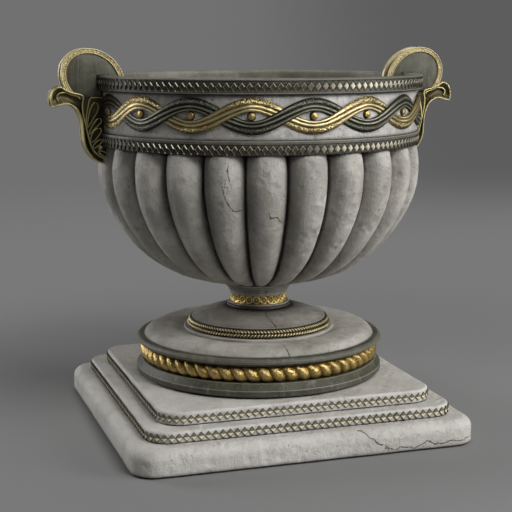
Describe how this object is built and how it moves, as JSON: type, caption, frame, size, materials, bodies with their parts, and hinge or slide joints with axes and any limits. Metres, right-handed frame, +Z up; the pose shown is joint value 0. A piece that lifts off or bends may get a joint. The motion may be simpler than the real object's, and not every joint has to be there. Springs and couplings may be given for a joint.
{
  "type": "stone vase",
  "caption": "Two-handled stone bowl with a gadrooned body and an interlaced frieze, on a turned foot and a stepped square plinth, with gilt mounts.",
  "frame": {"origin": "on the ground under the vase's axis, at the centre of the plinth slab's underside", "axes": "+Z up along the vase's axis, the two handles lie along X, and the front of the plinth faces -Y"},
  "size_m": [0.518, 0.4178, 0.4657],
  "materials": {
    "pale_stone": "honed warm-grey stone, mottled, pitted and cracked, with dirt in the grooves",
    "dark_stone": "polished greenish-grey stone, worn lighter on the edges",
    "gilt": "antique gilding, granular, dark in the recesses",
    "dark_bronze": "black-green patina with bright worn edges",
    "steel": "plain zinc-grey hardware"
  },
  "bodies": {
    "root": {"plinth_slab": "pale_stone", "plinth_middle_step": "pale_stone", "plinth_top_step": "pale_stone", "middle_step_lattice": "gilt", "top_step_lattice": "gilt", "foot_lower_ring": "dark_stone", "foot_rope_ring": "gilt", "foot_upper_ring": "dark_stone", "foot_dome": "pale_stone", "foot_cap": "pale_stone", "foot_plait_ring": "gilt", "stem_fillet_ring": "dark_stone", "stem_base_ring": "pale_stone", "stem_collar": "gilt", "bowl": "pale_stone", "lower_band": "dark_stone", "lower_band_lattice": "gilt", "frieze": "pale_stone", "rim": "dark_stone", "rim_lattice": "gilt", "guilloche_gold": "gilt", "guilloche_dark": "dark_bronze", "eye_stud_01": "gilt", "eye_stud_02": "gilt", "eye_stud_03": "gilt", "eye_stud_04": "gilt", "eye_stud_05": "gilt", "eye_stud_06": "gilt", "eye_stud_07": "gilt", "eye_stud_08": "gilt", "eye_stud_09": "gilt", "eye_stud_10": "gilt", "eye_stud_11": "gilt", "eye_stud_12": "gilt", "eye_stud_13": "gilt", "eye_stud_14": "gilt", "eye_stud_15": "gilt", "eye_stud_16": "gilt", "eye_stud_17": "gilt", "eye_stud_18": "gilt", "tie_rod": "steel", "tie_rod_lower_washer": "steel", "tie_rod_upper_washer": "steel", "tie_rod_lower_nut": "steel", "tie_rod_upper_nut": "steel", "right_handle_arm": "dark_bronze", "right_handle_drum": "dark_stone", "right_handle_front_rim": "gilt", "right_handle_back_rim": "gilt", "right_handle_pin": "steel", "right_handle_upper_bolt": "steel", "right_handle_lower_bolt": "steel", "left_handle_arm": "dark_bronze", "left_handle_drum": "dark_stone", "left_handle_front_rim": "gilt", "left_handle_back_rim": "gilt", "left_handle_pin": "steel", "left_handle_upper_bolt": "steel", "left_handle_lower_bolt": "steel"}
  },
  "joints": []
}
